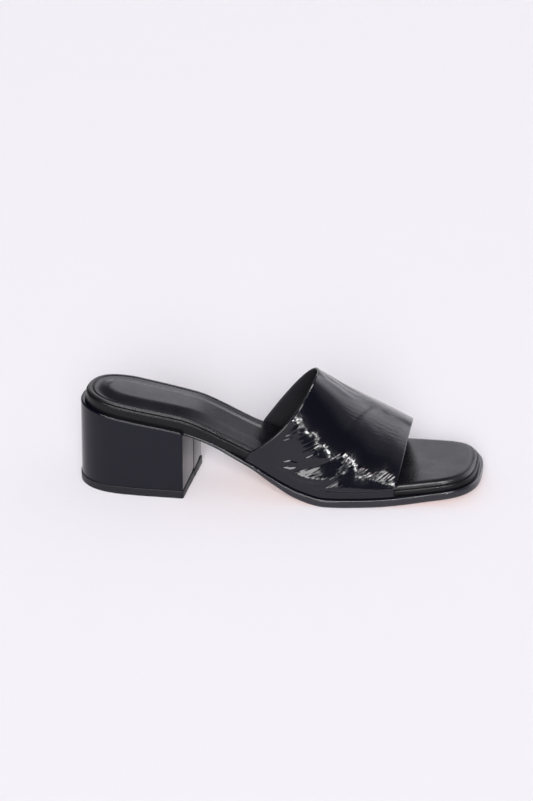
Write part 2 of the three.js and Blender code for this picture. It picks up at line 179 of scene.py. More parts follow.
# %% Smooth curves through the tables
def curve_through(at, value):
    """Smooth curve through a column, without overshoot, so that level rows stay level."""
    at, value = np.array(at, float), np.array(value, float)
    rate = np.diff(value) / np.diff(at)
    before, after = rate[:-1], rate[1:]
    turns = before * after <= 0
    inner = np.where(turns, 0, 2 * before * after / np.where(turns, 1, before + after))
    slope = np.concatenate([rate[:1], inner, rate[-1:]])

    def read(x):
        x = np.asarray(x, float)
        held = np.clip(x, at[0], at[-1])
        i = np.clip(np.searchsorted(at, held, side="right") - 1, 0, len(at) - 2)
        span = at[i + 1] - at[i]
        t = (held - at[i]) / span
        turn = t * t * (3 - 2 * t)
        between = value[i] * (1 - turn) + value[i + 1] * turn
        between = between + span * t * (1 - t) * (slope[i] * (1 - t) - slope[i + 1] * t)
        return between + np.where(x > at[-1], slope[-1], slope[0]) * (x - held)

    return read


half_width = curve_through(PLAN["at"], PLAN["half"])
swing_share = curve_through(PLAN["at"], PLAN["swing"])
rise_share = curve_through(BOTTOM["at"], BOTTOM["rise"])
spring_share = curve_through(BOTTOM["at"], BOTTOM["spring"])
outsole_at, welt_at, footbed_at = (
    curve_through(LAYERS["at"], LAYERS[name]) for name in ("outsole", "welt", "footbed")
)


def share(station):
    return np.asarray(station, float) / FOOTBED_LENGTH


def swing_at(station):
    return FOREFOOT_SWING * swing_share(share(station))

# %% The outline, and a bend onto the last's bottom
def edge_at(station, sign, margin):
    """Across position of the outline on one side (-1 outer, 1 big-toe side), grown outwards by a margin."""
    station = np.asarray(station, float)

    def plain(s):
        return swing_at(s) + sign * half_width(np.clip(share(s), 0, 1))

    slant = np.hypot(1, plain(station + 0.5) - plain(station - 0.5))
    half = np.abs(plain(station) - swing_at(station)) + margin * slant
    behind = (HEEL_ROUND - station) / (HEEL_ROUND + margin)
    ahead = (station - (FOOTBED_LENGTH - TOE_ROUND)) / (TOE_ROUND + margin)
    heel = np.maximum(0, 1 - np.maximum(behind, 0) ** HEEL_SQUARENESS) ** (1 / HEEL_SQUARENESS)
    toe = np.maximum(0, 1 - np.maximum(ahead, 0) ** TOE_SQUARENESS) ** (1 / TOE_SQUARENESS)
    return swing_at(station) + sign * half * np.where(behind > 0, heel, 1) * np.where(ahead > 0, toe, 1)


def feather_height(station):
    at = np.clip(share(station), -0.02, 1.02)
    return OUTSOLE + (SEAT_HEIGHT - OUTSOLE) * rise_share(at) + TOE_SPRING * spring_share(at)


def bend(station, across, height):
    """Points laid out flat are bent onto the last's bottom, height above the outsole's upper face."""
    station, across, height = np.broadcast_arrays(*(np.asarray(v, float) for v in (station, across, height)))
    slope = feather_height(station + 0.5) - feather_height(station - 0.5)
    along = np.hypot(1, slope)
    return np.stack(
        [station - ORIGIN - slope / along * height, across, feather_height(station) + height / along], axis=-1
    )


HEEL_ARC, BODY_STEPS, TOE_ARC = 30, 110, 30


def turn_share(steps, squareness):
    return np.sin(np.pi / 2 * np.arange(steps + 1) / steps) ** (2 / squareness)


def outline_stations(margin):
    """Stations close together where the heel and the toe turn."""
    body_end = FOOTBED_LENGTH - TOE_ROUND
    heel = HEEL_ROUND - (HEEL_ROUND + margin) * turn_share(HEEL_ARC, HEEL_SQUARENESS)[:0:-1]
    body = np.linspace(HEEL_ROUND, body_end, BODY_STEPS, endpoint=False)
    toe = body_end + (TOE_ROUND + margin) * turn_share(TOE_ARC, TOE_SQUARENESS)
    return np.concatenate([heel, body, toe])


def last_ring(margin, height, stations=None, reach=None):
    """Ring from the back along the outer side to the front and home along the big-toe side."""
    stations = outline_stations(margin) if stations is None else stations
    reach = margin if reach is None else reach(stations)
    sides = [bend(stations, edge_at(stations, sign, reach), height(stations)) for sign in (-1, 1)]
    return np.concatenate([sides[0], sides[1][::-1]])

print("ball half width", round(float(half_width(0.7)), 1), "mm")
print("arch height", round(float(feather_height(110)), 1), "mm")

# %% Meshes from stacked rings
MERGE_DISTANCE, SMALLEST_EDGE = 2e-6, 1e-6


def stack_faces(rings, count, cap_top=True):
    """Walls between rings that follow each other, with rungs across the bottom and the top."""
    faces = []
    for k in range(rings - 1):
        for i in range(count):
            j = (i + 1) % count
            faces.append((k * count + i, k * count + j, (k + 1) * count + j, (k + 1) * count + i))
    top = (rings - 1) * count
    for i in range(count // 2 - 1):
        a, b, c, d = i, i + 1, count - 2 - i, count - 1 - i
        faces.append((d, c, b, a))
        if cap_top:
            faces.append((top + a, top + b, top + c, top + d))
    return faces


def make_piece(name, points, faces, materials, crease_angle=35, material_of=None, marks=None):
    """A closed mesh object from points in millimetres, with doubled points merged and creases kept sharp."""
    mesh = bpy.data.meshes.new(name)
    mesh.from_pydata((np.asarray(points) * MM).tolist(), [], [list(face) for face in faces])
    for mark, values in (marks or {}).items():
        attribute = mesh.attributes.new(mark, "FLOAT", "POINT")
        attribute.data.foreach_set("value", np.ravel(values).astype(np.float32))
    for material in materials:
        mesh.materials.append(material)
    if material_of is not None:
        mesh.polygons.foreach_set("material_index", np.asarray(material_of, np.int32))
    work = bmesh.new()
    work.from_mesh(mesh)
    bmesh.ops.remove_doubles(work, verts=work.verts, dist=MERGE_DISTANCE)
    bmesh.ops.dissolve_degenerate(work, edges=work.edges, dist=SMALLEST_EDGE)
    for face in work.faces:
        face.smooth = True
    limit = math.radians(crease_angle)
    for edge in work.edges:
        edge.smooth = not (len(edge.link_faces) == 2 and edge.calc_face_angle(0) > limit)
    work.to_mesh(mesh)
    open_edges = sum(1 for edge in work.edges if len(edge.link_faces) != 2)
    work.free()
    piece = bpy.data.objects.new(name, mesh)
    bpy.context.scene.collection.objects.link(piece)
    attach(piece, BODY)
    print(name, len(mesh.polygons), "faces,", open_edges, "open edges")
    return piece

# %% [markdown]
# ## Smooth leathers, ink and rubber
#
# The sock and the footbed's wrap are nappa: a soft, lightly finished leather whose fine grain spreads the
# light. The heel's cover is patent leather, a leather under a clear film, so it mirrors the room under a
# faint ripple. The sole is leather, tan below, its edges inked and waxed black. The lift is moulded rubber.

# %% Nappa for the sock and the footbed
GRAIN_WARP, GRAIN_WARP_SCALE, CLOUD_SCALE = 0.6, 0.4, 90.0


def add_grain(tree, shader, grain_mm, height_mm, roughness_range):
    """Leather grain: cells at the grain's size, broken by finer noise, as bump and as varied roughness."""
    place = add_node(tree, "ShaderNodeTexCoord").outputs["Object"]
    warp = object_noise(tree, GRAIN_WARP_SCALE / (grain_mm * MM))
    moved = add_node(
        tree, "ShaderNodeVectorMath", {"operation": "MULTIPLY_ADD"},
        {0: warp.outputs["Color"], 1: (GRAIN_WARP * grain_mm * MM,) * 3, 2: place},
    )
    cells = add_node(
        tree, "ShaderNodeTexVoronoi", {"feature": "SMOOTH_F1"},
        {"Vector": moved.outputs["Vector"], "Scale": 1 / (grain_mm * MM), "Smoothness": 0.6},
    )
    bump = add_bump(tree, cells.outputs["Distance"], height_mm, invert=True)
    tree.links.new(bump, shader.inputs["Normal"])
    cloud = object_noise(tree, CLOUD_SCALE, detail=4.0)
    spread = add_node(
        tree, "ShaderNodeMapRange", inputs={
            "Value": cloud.outputs["Fac"], "From Min": 0.3, "From Max": 0.7,
            "To Min": roughness_range[0], "To Max": roughness_range[1],
        },
    )
    tree.links.new(spread.outputs["Result"], shader.inputs["Roughness"])


NAPPA_GRAIN = 0.7
nappa, tree, shader = start_material("nappa_leather", "#121116", 0.28, ior=1.43)
add_grain(tree, shader, grain_mm=NAPPA_GRAIN, height_mm=0.04, roughness_range=(0.24, 0.33))

wrap_nappa, tree, shader = start_material("wrapped_nappa_edge", "#0a0a0d", 0.3, ior=1.31)
add_grain(tree, shader, grain_mm=NAPPA_GRAIN, height_mm=0.05, roughness_range=(0.24, 0.36))

# %% Patent leather on the heel
heel_patent, tree, shader = start_material("smooth_patent_leather", "#080812", 0.08, ior=1.36)
ripple = object_noise(tree, 55.0)
tree.links.new(add_bump(tree, ripple.outputs["Fac"], depth_mm=0.12), shader.inputs["Normal"])

# %% Sole leather, edge ink and rubber
edge_ink, tree, shader = start_material("inked_sole_edge", "#101018", 0.24, coat=0.15, coat_roughness=0.1)
place = add_node(tree, "ShaderNodeTexCoord").outputs["Object"]
trim = add_node(tree, "ShaderNodeMapping", inputs={"Vector": place, "Scale": (60.0, 60.0, 900.0)})
lines = add_node(
    tree, "ShaderNodeTexNoise", inputs={"Vector": trim.outputs["Vector"], "Scale": 1.0, "Detail": 3.0}
)
tree.links.new(add_bump(tree, lines.outputs["Fac"], depth_mm=0.05, strength=0.6), shader.inputs["Normal"])

tan_leather, tree, shader = start_material("tan_sole_leather", "#a9764a", 0.55)
add_grain(tree, shader, grain_mm=0.5, height_mm=0.03, roughness_range=(0.45, 0.62))

rubber, tree, shader = start_material("moulded_rubber", "#0c0c11", 0.5, ior=1.38)
add_grain(tree, shader, grain_mm=0.45, height_mm=0.02, roughness_range=(0.42, 0.55))

# %% [markdown]
# ## The outsole
#
# The sole is cut from one sheet of leather, thin at the waist. Both its edges are rounded and inked, and it
# tucks in over the front of the heel's seat. Stacked rings give the edges their true round.

# %% Make the outsole
TUCK_START = BREAST - OUTSOLE_TUCK
EDGE_TURN = [(1, 0), (0.62, 0.06), (0.3, 0.27), (0.1, 0.6), (0, 1)]
TOP_EDGE = 1.0


def outsole_ring(inset, height):
    stations = outline_stations(WELT - inset)
    stations = np.concatenate([[TUCK_START], stations[stations > TUCK_START + 1]])
    return last_ring(0, height, stations, lambda s: welt_at(share(s)) - inset)


outsole_rings = [
    outsole_ring(OUTSOLE_EDGE * inset, lambda s, rise=rise: rise * OUTSOLE_EDGE - outsole_at(share(s)))
    for inset, rise in EDGE_TURN
] + [
    outsole_ring(TOP_EDGE * inset, lambda s, drop=drop: 0 * s - drop * TOP_EDGE)
    for inset, drop in EDGE_TURN[::-1]
]
ring_size = len(outsole_rings[0])
outsole_faces = stack_faces(len(outsole_rings), ring_size)
walls = (len(outsole_rings) - 1) * ring_size
is_bottom = [k >= walls and (k - walls) % 2 == 0 for k in range(len(outsole_faces))]
outsole = make_piece(
    "outsole_leather", np.concatenate(outsole_rings), outsole_faces, [edge_ink, tan_leather],
    material_of=[int(b) for b in is_bottom],
)
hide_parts("outsole")

# %% [markdown]
# ## The footbed
#
# A board carries the foot. Its nappa wrap leaves both edges softly rounded, and this edge shows as a dark
# band under the sock and above the heel's ledge.

# %% Make the footbed
WRAP_ROUND, WRAP_STEPS = 1.3, 8
LOWER_TURN = [(0.4, 0), (0.1, 0.12), (0, 0.4)]
footbed_rings = [
    last_ring(-inset * FOOTBED_EDGE, lambda s, rise=rise: 0 * s + GLUE_LINE + rise * FOOTBED_EDGE)
    for inset, rise in LOWER_TURN
] + [
    last_ring(
        -WRAP_ROUND * (1 - math.cos(turn)),
        lambda s, drop=WRAP_ROUND * (1 - math.sin(turn)): GLUE_LINE + footbed_at(share(s)) - drop,
    )
    for turn in np.linspace(0, math.pi / 2, WRAP_STEPS)
]
footbed = make_piece(
    "footbed_wrap", np.concatenate(footbed_rings), stack_faces(len(footbed_rings), len(footbed_rings[0])),
    [wrap_nappa],
)
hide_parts("footbed")

# %% [markdown]
# ## The padded sock
#
# The sock is nappa over thin foam. A flat hem runs round it, then a sewn groove, then the pad. The groove is
# deep round the heel and fades under the ball, so its depth follows the station. The pad is only about 2 mm
# thick and glued down all over, so its form is drawn rather than simulated.

# %% Form of the sock
SOCK_MARGIN, SOCK_HEM, SOCK_PAD, SOCK_SHOULDER = 1.3, 0.9, 2.0, 9.5
GROOVE_AT, GROOVE_WIDTH, GROOVE_DEPTH = 2.6, 0.5, 0.45
NEAR_HEM, FAR_HEM, BACK_HEM = 3.0, 6.5, 5.5
BACK_HEM_END, BACK_HEM_BLEND = 24, 20
CUT_ROUND, CROWN, CROWN_REACH = 0.5, 0.5, 6
TOE_ROLL, TOE_ROLL_FULLNESS = 5.5, 2.6
heel_share = curve_through([0, 0.3, 0.45, 0.62, 1], [1, 1, 0.75, 0, 0])


def smooth_step(x):
    x = np.clip(x, 0, 1)
    return x * x * (3 - 2 * x)


def sock_height(station, inset, far=0.5):
    """Height of the sock's face at a distance in from its cut edge; far is 0 on the outer side, 1 across."""
    station, inset, far = np.broadcast_arrays(*(np.asarray(v, float) for v in (station, inset, far)))
    heel = heel_share(share(station))
    edge = np.sqrt(np.clip(1 - (1 - np.clip(inset / CUT_ROUND, 0, 1)) ** 2, 0, 1))
    groove = GROOVE_DEPTH * np.exp(-((inset - GROOVE_AT) / GROOVE_WIDTH) ** 2)
    hem = NEAR_HEM + (FAR_HEM - NEAR_HEM) * smooth_step(far)
    hem = hem + (BACK_HEM - hem) * smooth_step((BACK_HEM_END - station) / BACK_HEM_BLEND)
    pillow = SOCK_HEM * edge - groove + SOCK_PAD * smooth_step((inset - hem) / SOCK_SHOULDER)
    pillow = pillow + CROWN * (1 - np.exp(-np.clip(inset - hem, 0, None) / CROWN_REACH))
    rolled = (SOCK_HEM + SOCK_PAD) * (1 - (1 - np.clip(inset / TOE_ROLL, 0, 1)) ** TOE_ROLL_FULLNESS) ** 0.5
    base = 2 * GLUE_LINE + footbed_at(share(station))
    return base + heel * pillow + (1 - heel) * rolled


# %% Make the sock
SOCK_INSETS = [0, 0.03, 0.1, 0.22, 0.4, 0.6, 0.9, 1.2, 1.5]
SOCK_COLUMNS = 90
sock_rings = [last_ring(-SOCK_MARGIN, lambda s: 2 * GLUE_LINE + footbed_at(share(s)))]
for inset in SOCK_INSETS:
    sock_rings.append(last_ring(-SOCK_MARGIN - inset, lambda s, i=inset: sock_height(s, i)))
ring_size = len(sock_rings[0])
sock_faces = stack_faces(len(sock_rings), ring_size, cap_top=False)

stations = outline_stations(-SOCK_MARGIN - SOCK_INSETS[-1])
edges = [edge_at(stations, sign, -SOCK_MARGIN - SOCK_INSETS[-1]) for sign in (-1, 1)]
shares = (0.5 - 0.5 * np.cos(np.pi * np.linspace(0, 1, SOCK_COLUMNS + 1)))[:, None]
across = edges[0] * (1 - shares) + edges[1] * shares
outline = outline_stations(-SOCK_MARGIN)
outline = np.concatenate([
    np.stack([outline, edge_at(outline, sign, -SOCK_MARGIN)], axis=-1)[::sign] for sign in (-1, 1)
])
face_inset = np.empty_like(across)
for k, row in enumerate(across):
    start, step = outline[:-1], np.diff(outline, axis=0)
    gap = np.stack([stations, row], axis=-1)[:, None] - start
    part = np.clip((gap * step).sum(-1) / np.maximum((step ** 2).sum(-1), 1e-9), 0, 1)
    face_inset[k] = np.linalg.norm(gap - part[..., None] * step, axis=-1).min(-1)
face_inset[[0, -1]] = SOCK_INSETS[-1]
face_inset[:, [0, -1]] = SOCK_INSETS[-1]
heights = sock_height(stations[None, :], face_inset, shares)
heights[[0, -1]] = sock_height(stations, SOCK_INSETS[-1])
heights[:, [0, -1]] = sock_height(stations[[0, -1]], SOCK_INSETS[-1])
face_points = bend(stations[None, :], across, heights)
first = len(sock_rings) * ring_size
count = len(stations)
for j in range(SOCK_COLUMNS):
    for i in range(count - 1):
        a = first + j * count + i
        sock_faces.append((a, a + 1, a + count + 1, a + count))
sock = make_piece(
    "sock_pad", np.concatenate(sock_rings + [face_points.reshape(-1, 3)]), sock_faces, [nappa],
    crease_angle=60,
)
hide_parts("sock")

# %% [markdown]
# ## The sock's stitches
#
# A row of black thread holds the pad's edge down in its groove, from one side of the waist round the heel to
# the other. Stitches repeat along a path, so Geometry Nodes set them out: the path is cut at the stitch's
# pitch and each point gets one short stitch, turned to the path. The sizes are inputs, so another pitch is
# one number away.

# %% Path of the stitches
STITCH_PITCH, STITCH_LENGTH, STITCH_THICKNESS, STITCH_END = 2.6, 1.8, 0.45, 0.46


def groove_path():
    stations = outline_stations(-SOCK_MARGIN - GROOVE_AT)
    stations = stations[stations < STITCH_END * FOOTBED_LENGTH]
    sides = [
        bend(stations, edge_at(stations, sign, -SOCK_MARGIN - GROOVE_AT), sock_height(stations, GROOVE_AT))
        for sign in (-1, 1)
    ]
    return np.concatenate([sides[0][::-1], sides[1]])


thread, tree, shader = start_material("waxed_black_thread", "#0e0e12", 0.4)
twist = object_noise(tree, 2500.0)
tree.links.new(add_bump(tree, twist.outputs["Fac"], depth_mm=0.05), shader.inputs["Normal"])

# %% Set out the stitches
def stitch_tree():
    """Stitches along the edges of a mesh, with their sizes as inputs."""
    tree = bpy.data.node_groups.new("stitches", "GeometryNodeTree")
    tree.interface.new_socket("Path", in_out="INPUT", socket_type="NodeSocketGeometry")
    for name in ("Pitch", "Length", "Thickness"):
        tree.interface.new_socket(name, in_out="INPUT", socket_type="NodeSocketFloat")
    tree.interface.new_socket("Thread", in_out="INPUT", socket_type="NodeSocketMaterial")
    tree.interface.new_socket("Stitches", in_out="OUTPUT", socket_type="NodeSocketGeometry")
    given = add_node(tree, "NodeGroupInput").outputs
    path = add_node(tree, "GeometryNodeMeshToCurve", inputs={"Mesh": given["Path"]})
    cut = add_node(tree, "GeometryNodeResampleCurve", {"mode": "LENGTH"}, {
        "Curve": path.outputs["Curve"], "Length": given["Pitch"],
    })
    turned = add_node(tree, "FunctionNodeAlignRotationToVector", {"axis": "X"}, {
        "Vector": add_node(tree, "GeometryNodeInputTangent").outputs["Tangent"],
    })
    size = add_node(tree, "ShaderNodeCombineXYZ", inputs={
        "X": given["Length"], "Y": given["Thickness"], "Z": given["Thickness"],
    })
    stitch = add_node(tree, "GeometryNodeMeshUVSphere", inputs={"Segments": 10, "Rings": 8, "Radius": 0.5})
    laid = add_node(tree, "GeometryNodeInstanceOnPoints", inputs={
        "Points": cut.outputs["Curve"], "Instance": stitch.outputs["Mesh"],
        "Rotation": turned.outputs["Rotation"], "Scale": size.outputs["Vector"],
    })
    real = add_node(tree, "GeometryNodeRealizeInstances", inputs={"Geometry": laid.outputs["Instances"]})
    sewn = add_node(tree, "GeometryNodeSetMaterial", inputs={
        "Geometry": real.outputs["Geometry"], "Material": given["Thread"],
    })
    add_node(tree, "NodeGroupOutput", inputs={"Stitches": sewn.outputs["Geometry"]})
    return tree


path = groove_path() * MM
path_mesh = bpy.data.meshes.new("sock_stitches")
path_mesh.from_pydata(path.tolist(), [(i, i + 1) for i in range(len(path) - 1)], [])
stitches = bpy.data.objects.new("sock_stitches", path_mesh)
bpy.context.scene.collection.objects.link(stitches)
sewing = stitches.modifiers.new("stitches", "NODES")
sewing.node_group = stitch_tree()
stitch_sizes = {
    "Pitch": STITCH_PITCH * MM, "Length": STITCH_LENGTH * MM, "Thickness": STITCH_THICKNESS * MM,
    "Thread": thread,
}
for socket in sewing.node_group.interface.items_tree:
    if socket.in_out == "INPUT" and socket.name in stitch_sizes:
        sewing[socket.identifier] = stitch_sizes[socket.name]
evaluated = stitches.evaluated_get(bpy.context.evaluated_depsgraph_get())
stitches.data = bpy.data.meshes.new_from_object(evaluated)
stitches.modifiers.remove(sewing)
stitches.data.name = "sock_stitches"
stitches.data.polygons.foreach_set("use_smooth", [True] * len(stitches.data.polygons))
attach(stitches, BODY)
print("sock_stitches", len(stitches.data.polygons), "faces")

# %% [markdown]
# ## The heel and its lift
#
# The block is covered in smooth patent leather that turns in over a narrow ledge round the seat. On the
# breast, the cover's two ends meet in a seam beside the middle. The rubber lift under it stands out a little.

# %% Make the heel block
SEAM_OFFSET, SEAM_END = 3.5, 0.8
SEAM_PROFILE = [(-1.2, 0), (-0.35, -0.05), (-0.12, -0.55), (0.12, -0.55), (0.3, 0.15), (1.2, 0.2)]

FLANK_STEPS, CORNER_STEPS, HEEL_WALL_STEPS, LEDGE_STEPS = 16, 9, 12, 11
LEDGE_ROUND, LEDGE_END = 0.5, 0.98


def heel_ring(inset, breast_inset, point_at):
    """Ring round the heel: its back and flanks on both sides, and the breast with its seam between them."""
    margin = GLUE_LINE + HEEL_RIM - inset
    front = BREAST - breast_inset
    behind = outline_stations(margin)[:HEEL_ARC]
    flank = np.linspace(HEEL_ROUND, front - BREAST_CORNER, FLANK_STEPS, endpoint=False)
    turn = np.linspace(0, np.pi / 2, CORNER_STEPS)
    corner = front - BREAST_CORNER * (1 - np.sin(turn))
    sides, ends = [], []
    for sign in (-1, 1):
        flat = np.concatenate([behind, flank])
        across = np.concatenate([
            edge_at(flat, sign, margin),
            edge_at(front, sign, margin) - sign * BREAST_CORNER * (1 - np.cos(turn)),
        ])
        ends.append(across[-1])
        sides.append(point_at(np.concatenate([flat, corner]), across))
    seam = np.array([(SEAM_OFFSET + beside, front + proud) for beside, proud in SEAM_PROFILE])
    seam = np.concatenate([
        [(0.5 * ends[0] + 0.5 * SEAM_OFFSET, front)], seam,
        [(ends[1] - SEAM_END, front + SEAM_PROFILE[-1][1])],
    ])
    breast = point_at(seam[:, 1], seam[:, 0])
    return np.concatenate([sides[0], breast, sides[1][::-1]])


def upright(height):
    return lambda s, a: np.stack(np.broadcast_arrays(s - ORIGIN, a, height + 0 * s), axis=-1)


def seat_bed(height):
    def place_point(station, across):
        point = bend(station, across, height + 0 * station)
        point[:, 0] = station - ORIGIN
        return point
    return place_point


heel_levels = [heel_ring(-HEEL_FLARE, 0, upright(TOP_LIFT + GLUE_LINE))]
ledge = [
    (LEDGE_ROUND * (1 - math.cos(turn)), LEDGE_ROUND * math.sin(turn) - LEDGE_ROUND)
    for turn in np.linspace(0, math.pi / 2, LEDGE_STEPS)
]
foot = heel_levels[0]
shoulder = heel_ring(0, 0, seat_bed(HEEL_LIP - LEDGE_ROUND * HEEL_RIM))
for part in np.linspace(0, 1, HEEL_WALL_STEPS)[1:-1]:
    heel_levels.append(foot * (1 - part) + shoulder * part)
for inset, rise in ledge:
    heel_levels.append(heel_ring(inset * HEEL_RIM, inset * HEEL_RIM, seat_bed(HEEL_LIP + rise * HEEL_RIM)))
heel_levels.append(heel_ring(LEDGE_END * HEEL_RIM, LEDGE_END * HEEL_RIM, seat_bed(HEEL_LIP)))
heel_block = make_piece(
    "heel_cover", np.concatenate(heel_levels), stack_faces(len(heel_levels), len(heel_levels[0])),
    [heel_patent],
)
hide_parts("heel_block")

# %% Make the top lift
LIFT_BEVEL = 0.2


def lift_ring(inset, height):
    return heel_ring(-HEEL_FLARE - TOP_LIFT_STEP + inset, -TOP_LIFT_STEP + inset, upright(height))


lift_rings = [
    lift_ring(TOP_LIFT_EDGE * (1 - math.sin(turn)), TOP_LIFT_EDGE * (1 - math.cos(turn)))
    for turn in np.linspace(0, math.pi / 2, 5)
] + [lift_ring(0, TOP_LIFT - LIFT_BEVEL), lift_ring(LIFT_BEVEL, TOP_LIFT)]
top_lift = make_piece(
    "rubber_lift", np.concatenate(lift_rings), stack_faces(len(lift_rings), len(lift_rings[0])), [rubber]
)
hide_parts("top_lift")

# %% [markdown]
# ## Crinkled patent leather
#
# The vamp is a soft leather under a thin clear film that creases as it is lasted. It mirrors the room in
# broken streaks where it bends, and inside it shows a plain dark lining.

# %% Patent leather, lining and cut edge for the vamp
patent, tree, shader = start_material(
    "crinkled_patent_leather", "#07070f", 0.15, coat=0.55, coat_roughness=0.02
)
shader.inputs["Specular IOR Level"].default_value = 0.16


def band_mark(tree, name):
    return add_node(tree, "ShaderNodeAttribute", {"attribute_name": name}).outputs["Fac"]


def band_pattern(tree, across, down, detail, distortion):
    """Noise laid on the band by two of its own marks, each in units of the pattern's size."""
    place = add_node(tree, "ShaderNodeCombineXYZ", inputs={
        "X": band_mark(tree, across), "Y": band_mark(tree, down),
    })
    return add_node(
        tree, "ShaderNodeTexNoise",
        inputs={"Vector": place.outputs["Vector"], "Scale": 1.0, "Detail": detail, "Distortion": distortion},
    ).outputs["Fac"]


def masked_bump(tree, height, mask, depth_mm, below=None):
    """Bump whose depth follows a mark on the band."""
    deep = add_node(tree, "ShaderNodeMath", {"operation": "MULTIPLY"}, {0: height, 1: band_mark(tree, mask)})
    return add_bump(tree, deep.outputs["Value"], depth_mm, below=below)


crinkles = band_pattern(tree, "crinkle_across", "crinkle_down", detail=0.0, distortion=0.0)
normal = masked_bump(tree, crinkles, "crinkled", depth_mm=0.45)
brushed = band_pattern(tree, "grain_across", "grain_down", detail=3.0, distortion=0.2)
normal = masked_bump(tree, brushed, "grained", depth_mm=0.3, below=normal)
peel = object_noise(tree, 420.0)
normal = add_bump(tree, peel.outputs["Fac"], depth_mm=0.035, below=normal)
tree.links.new(normal, shader.inputs["Normal"])
tree.links.new(normal, shader.inputs["Coat Normal"])

lining, tree, shader = start_material("lining_leather", "#1d1d21", 0.5)
add_grain(tree, shader, grain_mm=0.6, height_mm=0.03, roughness_range=(0.45, 0.6))

# The cut edge's light grey is a painted highlight: it stands in for the thin bright line along the band's
# topline.
painted_highlight_edge = start_material("band_edge_painted_highlight", "#55555c", 0.3, coat=0.3, coat_roughness=0.15)[0]

# %% [markdown]
# ## The vamp's band
#
# The band is drawn as the solid is: sections from its rear edge to its front edge, each from the outer side's
# lasting margin, over the foot and down to the other margin. The grid is fine enough to take the creases.

# %% Sections of the vamp
VAMP_WALL, VAMP_MARGIN, VAMP_TURN, SKIVED_MARGIN = 1.5, 8, 0.8, 0.6
THROAT_HEIGHT, TOE_OPENING_HEIGHT = 78, 36.8
VAMP = {
    "along": [0, 0.5, 1],
    "outer": [0.431, 0.618, 0.805],
    "inner": [0.428, 0.608, 0.79],
    "crest": [0.5945, 0.708, 0.824],
    "height": [1, 0.43, 0],
    "ridge": [0.015, 0.04, 0.05],
    "outer_ahead": [0.73, 0.72, 0.7],
    "outer_up": [0.36, 0.33, 0.3],
    "outer_out": [0.055, 0.07, 0.08],
    "outer_top": [0.42, 0.42, 0.42],
    "inner_ahead": [0.84, 0.72, 0.6],
    "inner_up": [1.06, 0.85, 0.6],
    "inner_out": [0.12, 0.1, 0.06],
    "inner_top": [0.63, 0.6, 0.5],
}
vamp_curve = {name: curve_through(VAMP["along"], VAMP[name]) for name in VAMP if name != "along"}
OUTER_STEPS, INNER_STEPS, STRIP_STEPS, VAMP_TURN_STEPS = 130, 84, 6, 5


def lasted_side(station, sign):
    outside = GLUE_LINE + VAMP_WALL
    edge = edge_at(station, sign, outside)
    line = [bend(station, edge - sign * (VAMP_MARGIN + outside), GLUE_LINE)]
    for turn in np.linspace(0, np.pi / 2, VAMP_TURN_STEPS + 1):
        line.append(bend(
            station, edge - sign * VAMP_TURN * (1 - np.sin(turn)), GLUE_LINE + VAMP_TURN * (1 - np.cos(turn))
        ))
    foot = bend(station, edge, VAMP_WALL + 2 * GLUE_LINE + footbed_at(share(station)))
    for part in np.linspace(0, 1, STRIP_STEPS + 1)[1:]:
        line.append(line[VAMP_TURN_STEPS + 1] * (1 - part) + foot * part)
    return line


def arch_points(foot, crest, ahead, up, out, top, steps):
    reach = crest - foot
    first = foot + np.array([reach[0] * ahead, -reach[1] * out, reach[2] * up])
    second = np.array([crest[0], crest[1] - reach[1] * top, crest[2]])
    t = np.linspace(0, 1, steps + 1)[:, None]
    return (1 - t) ** 3 * foot + 3 * (1 - t) ** 2 * t * first + 3 * (1 - t) * t * t * second + t ** 3 * crest


def vamp_section(along):
    read = {name: float(curve(along)) for name, curve in vamp_curve.items()}
    left = lasted_side(read["outer"] * FOOTBED_LENGTH, -1)
    right = lasted_side(read["inner"] * FOOTBED_LENGTH, 1)
    half = (right[-1][1] - left[-1][1]) / 2
    crest = np.array([
        read["crest"] * FOOTBED_LENGTH - ORIGIN,
        (left[-1][1] + right[-1][1]) / 2 + read["ridge"] * half,
        TOE_OPENING_HEIGHT + (THROAT_HEIGHT - TOE_OPENING_HEIGHT) * read["height"],
    ])
    outer_shape, inner_shape = (
        [read[side + part] for part in ("_ahead", "_up", "_out", "_top")] for side in ("outer", "inner")
    )
    outer = arch_points(left[-1], crest, *outer_shape, OUTER_STEPS)
    inner = arch_points(right[-1], crest, *inner_shape, INNER_STEPS)
    return np.concatenate([left, outer[1:], inner[1:-1][::-1], right[::-1]])


over = np.concatenate([
    [0] * (VAMP_TURN_STEPS + STRIP_STEPS + 2), np.linspace(0, 1, OUTER_STEPS + 1)[1:],
    1 + np.linspace(0, 1, INNER_STEPS + 1)[1:-1], [2] * (VAMP_TURN_STEPS + STRIP_STEPS + 2),
])
VAMP_ROWS = 120
EDGE_ROWS = [0, 0.0006, 0.0022, 0.0048, 0.0085]
alongs = np.array(EDGE_ROWS + list(np.linspace(0.016, 0.984, VAMP_ROWS)) + [1 - e for e in EDGE_ROWS[::-1]])
band = np.array([vamp_section(along) for along in alongs])
print("vamp grid", band.shape)

# %% [markdown]
# ## Creases of the band
#
# Lasting pulls the film into folds: a crescent low on the outer side, short slashes near the sole, a soft
# ridge and trough beside the crest, and slanting folds between them. Each is drawn as a line on the band,
# in shares of its length and of its outer side, with a width and a height in millimetres. A trough's height
# is below zero. Towards the front, a soft roll runs along the band's foot. The finest crinkles lie in
# patches, and the material draws them.

# %% Lines drawn on the band
CHART_ALONG, CHART_OVER = 88, 80
CREASE_STEPS, CREASE_FADE = 20, 0.03
chart = np.stack(np.meshgrid(alongs * CHART_ALONG, over * CHART_OVER, indexing="ij"), axis=-1)


